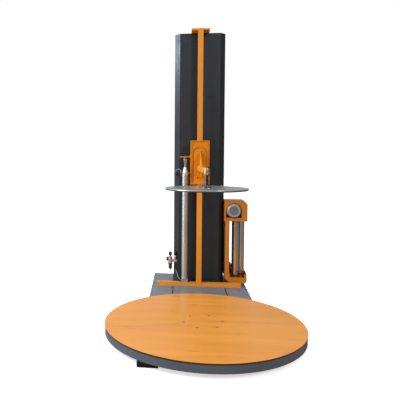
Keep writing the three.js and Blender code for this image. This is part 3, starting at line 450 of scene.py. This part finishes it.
def build_dials():
    knob = [(1, 0), (16, 0), (15, 4), (11, 5), (10, 16), (1, 17)]
    for i, x in enumerate((-60, 0, 60)):
        lathe(f"panel_dial_{i + 1}", "base", PLASTIC, knob, (x, PANEL_FACE, 1300), TO_REAR, 36)
        pointer_y = (PANEL_FACE + 16, PANEL_FACE + 17.6)
        block(f"panel_pointer_{i + 1}", "base", DIAL, (x - 1.2, x + 1.2), pointer_y, (1300, 1309), 0.4)


# ------------------------------------------------------------------ top press
def arch_outline(width, low, high, corner):
    """Half-round-shouldered outline in (x, z)."""
    points = [(-width, low), (width, low)]
    for i in range(13):
        angle = math.pi * i / 12
        shift = (width - corner) * (1 if i <= 6 else -1)
        points.append((shift + corner * math.cos(angle), high - corner + corner * math.sin(angle)))
    return points


def plate_y(name, body, material, outline, y0, y1):
    """A flat plate with an (x, z) outline between two y planes."""
    bm = bmesh.new()
    front = [bm.verts.new((x * MM, y0 * MM, z * MM)) for x, z in outline]
    back = [bm.verts.new((x * MM, y1 * MM, z * MM)) for x, z in outline]
    bm.faces.new(front)
    bm.faces.new(back[::-1])
    for i in range(len(outline)):
        j = (i + 1) % len(outline)
        bm.faces.new((front[i], front[j], back[j], back[i]))
    piece = place(name, mesh_from(bm, name), body, material)
    add_bevel(piece, 0.6)
    return piece


def build_mast():
    for side, tag in SIDES:
        ends = [(side * x, CROSSBAR_BOLTS_Y, CROSSBAR_TOP) for x in (370, 255)]
        bolts(f"crossbar_end_bolts_{tag}", "base", ORANGE, ends, UP, 7, 4)
        foot, top = (side * 26, 1009, 106), (side * 26, 1009, 142)
        weld(f"mast_foot_weld_{tag}", "base", ORANGE, foot, top)
    front = [(x, 1010, 124) for x in (-388, 388)]
    bolts("crossbar_front_bolts", "base", ORANGE, front, TO_FRONT, 6, 4)
    cylinder = [(x, CROSSBAR_BOLTS_Y, CROSSBAR_TOP) for x in (-182, -92)]
    bolts("cylinder_foot_bolts", "base", DARK_STEEL, cylinder, UP, 6, 4)


def build_press():
    # Painted shadow: a thin black arch-shaped plate, shifted 2 mm to the left of the arch plate, shows as a
    # dark line along the arch plate's left edge.
    painted_shadow_outline = [(x - 2, z) for x, z in arch_outline(64, 1108, 1450, 52)]
    plate_y("arch_painted_shadow", "press_carriage", BLACK_PAINT, painted_shadow_outline, 950.5, 953)
    for side, tag in SIDES:
        heads = [(side * 88, y, z) for y, z in GUIDE_ROLLERS]
        bolts(f"carriage_side_bolts_{tag}", "press_carriage", DARK_STEEL, heads, (side, 0, 0), 9, 6)
    heads = [(x, PRESS_FACE, z) for x in (-71, 71) for z in (1135, 1300, 1480)]
    bolts("arch_plate_bolts", "press_carriage", ORANGE, heads, TO_FRONT, 5, 4)
    for side, tag in SIDES:
        root, edge = side * 23, side * 79
        weld(f"arm_root_weld_{tag}", "press_carriage", ORANGE, (root, 945, 1236), (root, 945, 1278), 2.6)
        start, end = (5 + side * 5, 642, 1279), (side * 5, 945, 1279)
        weld(f"gusset_weld_{tag}", "press_carriage", ORANGE, start, end, 2.2)
        start, end = (edge, PRESS_FACE, 1112), (edge, PRESS_FACE, 1505)
        weld(f"carriage_edge_weld_{tag}", "press_carriage", ORANGE, start, end, 1.6)
    build_bearing()
    build_disc()


def build_bearing():
    sleeve = [(14, 1234), (23.6, 1234), (24.6, 1237), (24.6, 1270), (23, 1277.6), (14, 1277.8)]
    lathe("bearing_sleeve", "press_carriage", ZINC, sleeve, HEAD_AXIS)
    lower_ring = [(13.6, 1224), (20, 1224), (21, 1226), (21, 1233.8), (13.6, 1233.8)]
    lathe("bearing_lower_ring", "press_carriage", DARK_STEEL, lower_ring, HEAD_AXIS)
    cap = [(2, 1288), (17, 1288), (17, 1289.5), (14, 1290.5), (2, 1290.5)]
    lathe("shaft_cap", "press_head", BLACK_PAINT, cap, HEAD_AXIS)
    shaft = [(12.8, 1150), (14.4, 1150), (14.4, 1223), (12.8, 1223)]
    lathe("shaft_sleeve", "press_head", BLACK_CHROME, shaft, HEAD_AXIS)


def build_disc():
    rim = [(307, 1121.4), (310.6, 1121.4), (311.4, 1124), (310.6, 1127.8), (307, 1127.8)]
    lathe("disc_rolled_edge", "press_head", DISC_METAL, rim, HEAD_AXIS, steps=192)
    pad = [(292, 1114.5), (307, 1114.5), (308.5, 1118), (308.5, 1121.3), (292, 1121.3)]
    lathe("pad_edge", "press_head", RUBBER, pad, HEAD_AXIS, steps=192)
    around = [math.radians(45 + 60 * i) for i in range(6)]
    ring = [(HEAD_AXIS[0] + 33 * math.cos(a), 33 * math.sin(a), 1136) for a in around]
    bolts("flange_bolts", "press_head", STEEL, ring, UP, 4.2, 5)
    outer = [(HEAD_AXIS[0] + 62 * math.cos(a), 62 * math.sin(a), 1127) for a in around[::2]]
    bolts("disc_bolts", "press_head", STEEL, outer, UP, 6, 6)


def build_cylinder():
    x, y, _ = CYLINDER_AXIS
    clevis = [(17, 1342), (20.5, 1342), (21.5, 1345), (21.5, 1354), (17, 1356)]
    lathe("rod_clevis_band", "press_carriage", DARK_STEEL, clevis, CYLINDER_AXIS, steps=32)
    wiper = [(10.4, 1262), (14, 1262), (13, 1267), (10.4, 1268)]
    lathe("rod_wiper", "base", RUBBER, wiper, CYLINDER_AXIS, steps=48)
    for name, low, high in (("barrel_top_band", 1178, 1194), ("barrel_foot_band", 177, 192)):
        band = [(30, low), (32.5, low), (32.5, high), (30, high)]
        lathe(name, "base", ALUMINIUM, band, CYLINDER_AXIS, steps=64)
    bolts("rod_lug_bolt", "press_carriage", DARK_STEEL, [(x, y, 1366)], UP, 8, 5)


def build_air_supply():
    build_hoses()
    build_filter()
    build_gauge()
    grip = [(9, 378), (16, 378), (16.8, 382), (15.4, 386), (16.8, 390), (15.4, 394), (16.8, 398)]
    grip += [(15.5, 412), (9, 413)]
    lathe("knob_grip", "regulator_knob", PLASTIC, grip, FILTER_AXIS, steps=28)
    cap = [(2, 378), (13.5, 378), (13.5, 414), (11, 417), (2, 417)]
    lathe("slide_valve", "base", PLASTIC, cap, SLIDE_VALVE_AXIS, steps=36)
    body = [(2, 338), (12.5, 338), (14, 341), (14, 375), (12.5, 378), (2, 378)]
    lathe("slide_valve_body", "base", ALUMINIUM, body, SLIDE_VALVE_AXIS, steps=36)
    elbow = [(3, 0), (8, 0), (8, 14), (3, 14)]
    lathe("lower_elbow", "base", PLASTIC, elbow, (-182, 1037, 153), steps=24)


def build_hoses():
    """The curved hoses, in place of the frame's straight ones."""
    upper = [(-228, 1150, 1196), (-230, 1132, 1220), (-206, 1100, 1240), (-184, 1060, 1232)]
    upper += [(-176, 1038, 1212)]
    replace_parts(pipe("hose_upper", "base", HOSE, upper, 5), "air_hose_upper")
    grommet = [(4, -2), (15, -2), (15, 5), (12, 9), (10, 22), (4, 22)]
    outward = (-0.7071, -0.7071, 0)
    lathe("hose_grommet", "base", PLASTIC, grommet, (-221, 1161, 1192), outward, 36)
    elbow = [(3, 0), (8, 0), (8, 14), (6, 18), (3, 18)]
    lathe("head_elbow", "base", PLASTIC, elbow, (-176, 1037, 1196), steps=24)
    lower = [(-226, 1158, 240), (-224, 1126, 234), (-208, 1086, 206), (-194, 1054, 178)]
    lower += [(-184, 1038, 164)]
    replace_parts(pipe("hose_lower", "base", HOSE, lower, 4), "air_hose_lower")


def build_filter():
    bowl = [(2, 239), (12, 239), (17.5, 246), (18.5, 258), (18.5, 290), (23, 291), (23, 300), (2, 300)]
    lathe("filter_bowl", "base", BOWL, bowl, FILTER_AXIS, steps=48)
    drain = [(1, 226), (5, 226), (5, 234), (3, 240), (1, 240)]
    lathe("drain_valve", "base", PLASTIC, drain, FILTER_AXIS, steps=24)


def build_gauge():
    x, y, _ = FILTER_AXIS
    case = [(4, -10), (19.5, -10), (20.5, -8), (20.5, 3), (19, 5), (17, 4), (4, 4)]
    lathe("gauge_case", "base", PLASTIC, case, (x - 33, y, 340), (-1, 0, 0), 48)
    dial = [(0.5, 0), (16.5, 0), (16.5, 1), (0.5, 1)]
    lathe("gauge_dial", "base", DIAL, dial, (x - 37, y, 340), (-1, 0, 0), 48)
    block("gauge_needle", "base", RED, (x - 39.2, x - 38.2), (y - 0.8, y + 0.8), (338, 352), 0.2)


# ------------------------------------------------------------------ film carriage
def build_film_carriage():
    build_stretch_motor()
    build_stretch_rollers()
    corners = ((262, 922), (446, 900), (452, 750), (262, 750))
    heads = [(x, CARRIAGE_FACE, z) for x, z in corners]
    bolts("housing_front_bolts", "film_carriage", SHADED_ORANGE, heads, TO_FRONT, 4, 2.5)
    heads = [(276, CARRIAGE_FACE, z) for z in (245, 480, 715)]
    bolts("post_bolts", "film_carriage", SHADED_ORANGE, heads, TO_FRONT, 4, 2.5)
    cable = [(250, 1165, 640), (249, 1140, 690), (250, 1120, 726), (253, 1116, 760), (258, 1124, 790)]
    pipe("carriage_cable", "film_carriage", RUBBER, cable, 7)
    block("cable_bracket", "film_carriage", BLACK_PAINT, (246.5, 255), (1092, 1160), (690, 735), 2)
    block("brake_bracket", "film_carriage", BLACK_PAINT, (318, 332), (1322, 1344), (150, 285), 2)
    knob = [(3, 0), (16, 0), (17, 4), (17, 16), (14, 22), (3, 22)]
    lathe("brake_knob", "film_carriage", PLASTIC, knob, (325, 1322, 262), TO_FRONT, 24)
    for name, z in (("post_top_weld", 735), ("post_foot_weld", 223)):
        weld(name, "film_carriage", SHADED_ORANGE, (262, 1087, z), (295, 1087, z))
    jaw = [(28, 216), (38, 216), (38, 220), (31, 296), (28, 297)]
    lathe("chuck_jaw_sleeve", "film_chuck_lower", PLASTIC, jaw, CHUCK_AXIS, steps=64)
    grip = [(18, 804), (23.5, 804), (24.2, 815), (23.5, 827), (18, 828.5)]
    lathe("chuck_knob_grip", "film_chuck_upper", PLASTIC, grip, CHUCK_AXIS, steps=24)


def build_stretch_motor():
    """The finned motor, in place of the frame's plain one."""
    x, y, z = MOTOR_FACE
    fan = [(3, 0), (61, 0), (64, 3), (64.4, 8), (64.4, 118), (3, 118)]
    cover = lathe("motor_fan_cover", "film_carriage", ALUMINIUM, fan, MOTOR_FACE, TO_REAR, 96)
    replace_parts(cover, "stretch_motor")
    rim = [(50, -2.5), (58, -2.5), (61, 0), (61, 4), (50, 4)]
    lathe("motor_front_rim", "film_carriage", ALUMINIUM, rim, MOTOR_FACE, TO_REAR, 96)
    recess = [(2, -1), (40, -1), (41, -3), (44, -3), (44, 2), (2, 2)]
    lathe("motor_recess", "film_carriage", GREY, recess, MOTOR_FACE, TO_REAR, 72)
    fin = [(58, 0), (69, 0), (69, 3), (58, 3)]
    for i in range(6):
        centre = (x, y + 24 + i * 14, z)
        lathe(f"motor_fin_{i + 1}", "film_carriage", ALUMINIUM, fin, centre, TO_REAR, 72)
    block("motor_gearbox", "film_carriage", GREY, (291, 381), (1189, 1258), (790, 885), 6)
    # Painted shade: a black ring fills the gap between the motor fins and the housing's opening, standing in
    # for the shade inside that gap.
    shade_ring_profile = [(70.5, 0), (74.5, 0), (74.5, 3), (70.5, 3)]
    lathe("motor_gap_shade_ring", "film_carriage", BLACK_PAINT, shade_ring_profile, (x, 1083.5, z), TO_REAR, 96)


def build_stretch_rollers():
    top = [(10.5, 722), (33, 722), (35.6, 724), (35.6, 730), (10.5, 731)]
    bottom = [(10.5, 195), (33, 195), (35.6, 197), (35.6, 203), (10.5, 205)]
    sleeve = [(33, 205), (35.5, 206), (35.5, 720), (33, 721)]
    for name, x, y in STRETCH_ROLLERS:
        body = f"stretch_{name}"
        lathe(f"roller_cap_top_{name}", body, DARK_STEEL, top, (x, y, 0), steps=64)
        lathe(f"roller_cap_bottom_{name}", body, DARK_STEEL, bottom, (x, y, 0), steps=64)
        lathe(f"roller_sleeve_{name}", body, STEEL, sleeve, (x, y, 0), steps=96)


# ------------------------------------------------------------------ stage
def build_stage():
    bm = bmesh.new()
    bmesh.ops.create_grid(bm, x_segments=1, y_segments=1, size=30)
    floor = bpy.data.objects.new("studio_floor", mesh_from(bm, "studio_floor"))
    bpy.context.scene.collection.objects.link(floor)
    floor.data.materials.append(studio_floor())
    build_world()
    add_area_light("key_light", (-4.2, -2.6, 4.4), (0, 0.2, 0.6), 120, 1.6)
    add_area_light("rim_light", (-4.6, 1.2, 3.8), (-0.2, 1.2, 2.2), 200, 1.6, (0.66, 0.84, 1.0))
    add_area_light("side_light", (-4.6, -1.6, 0.9), (0, -0.2, 0.3), 75, 1.6, (0.75, 0.88, 1.0))
    add_area_light("front_light", (2.6, -4.6, 3.8), (0, 0.9, 1.0), 140, 1.2, (1.0, 0.96, 0.9))


def studio_floor():
    """A pale floor to the camera; a warm mid-grey one to everything that reflects it."""
    material, nodes, links, shader = new_material("studio_white")
    shader.inputs["Base Color"].default_value = (0.93, 0.93, 0.93, 1)
    shader.inputs["Emission Color"].default_value = (1, 1, 1, 1)
    shader.inputs["Emission Strength"].default_value = 0.6
    shader.inputs["Roughness"].default_value = 0.9
    bounce = nodes.new("ShaderNodeBsdfDiffuse")
    bounce.inputs["Color"].default_value = (0.30, 0.25, 0.20, 1)
    path = nodes.new("ShaderNodeLightPath")
    switch = nodes.new("ShaderNodeMixShader")
    links.new(path.outputs["Is Camera Ray"], switch.inputs["Fac"])
    links.new(bounce.outputs["BSDF"], switch.inputs[1])
    links.new(shader.outputs["BSDF"], switch.inputs[2])
    links.new(switch.outputs["Shader"], nodes["Material Output"].inputs["Surface"])
    return material


def build_world():
    """Soft daylight, brightest on the left and overhead; the camera itself sees plain white."""
    world = bpy.data.worlds.new("studio")
    world.use_nodes = True
    nodes, links = world.node_tree.nodes, world.node_tree.links
    daylight = nodes["Background"]
    daylight.inputs["Color"].default_value = (0.96, 0.98, 1.0, 1)
    coords = nodes.new("ShaderNodeTexCoord")
    split = nodes.new("ShaderNodeSeparateXYZ")
    links.new(coords.outputs["Generated"], split.inputs["Vector"])
    side = nodes.new("ShaderNodeMapRange")
    side.inputs["From Min"].default_value = -0.9
    side.inputs["From Max"].default_value = 0.6
    side.inputs["To Min"].default_value = 0.8
    side.inputs["To Max"].default_value = 0.14
    links.new(split.outputs["X"], side.inputs["Value"])
    overhead = nodes.new("ShaderNodeMath")
    overhead.operation = "MULTIPLY_ADD"
    overhead.inputs[1].default_value = 0.35
    links.new(split.outputs["Z"], overhead.inputs[0])
    links.new(side.outputs["Result"], overhead.inputs[2])
    links.new(overhead.outputs["Value"], daylight.inputs["Strength"])
    backdrop = nodes.new("ShaderNodeBackground")
    backdrop.inputs["Color"].default_value = (1, 1, 1, 1)
    path = nodes.new("ShaderNodeLightPath")
    switch = nodes.new("ShaderNodeMixShader")
    links.new(path.outputs["Is Camera Ray"], switch.inputs["Fac"])
    links.new(daylight.outputs["Background"], switch.inputs[1])
    links.new(backdrop.outputs["Background"], switch.inputs[2])
    links.new(switch.outputs["Shader"], nodes["World Output"].inputs["Surface"])
    bpy.context.scene.world = world


def add_area_light(name, position, target, watts, size, colour=(1, 1, 1)):
    light = bpy.data.lights.new(name, "AREA")
    light.color = colour
    light.energy = watts
    light.size = size
    lamp = bpy.data.objects.new(name, light)
    lamp.location = position
    direction = Vector(target) - Vector(position)
    lamp.rotation_euler = direction.to_track_quat("-Z", "Y").to_euler()
    bpy.context.scene.collection.objects.link(lamp)


def build_camera():
    yaw, pitch, roll = 0.11, 0.039, 0.003
    right = Vector((math.cos(yaw), math.sin(yaw), 0))
    level = Vector((-math.sin(yaw), math.cos(yaw), 0))
    up = Vector((0, 0, 1))
    forward = math.cos(pitch) * level - math.sin(pitch) * up
    above = math.sin(pitch) * level + math.cos(pitch) * up
    axis_x = math.cos(roll) * right + math.sin(roll) * above
    axis_y = -math.sin(roll) * right + math.cos(roll) * above
    rotation = Matrix((axis_x, axis_y, -forward)).transposed().to_4x4()
    data = bpy.data.cameras.new("photo_camera")
    data.sensor_width = 36
    data.lens = 43.3
    data.shift_x = 0.1785
    data.shift_y = -0.061
    data.clip_end = 100
    camera = bpy.data.objects.new("photo_camera", data)
    camera.matrix_world = Matrix.Translation((-0.1714, -3.6581, 1.3605)) @ rotation
    bpy.context.scene.collection.objects.link(camera)
    bpy.context.scene.camera = camera


dress_frame()
build_turntable()
build_base()
build_column()
build_controls()
build_mast()
build_press()
build_cylinder()
build_air_supply()
build_film_carriage()
build_stage()
build_camera()
bpy.context.scene.view_settings.view_transform = "Standard"
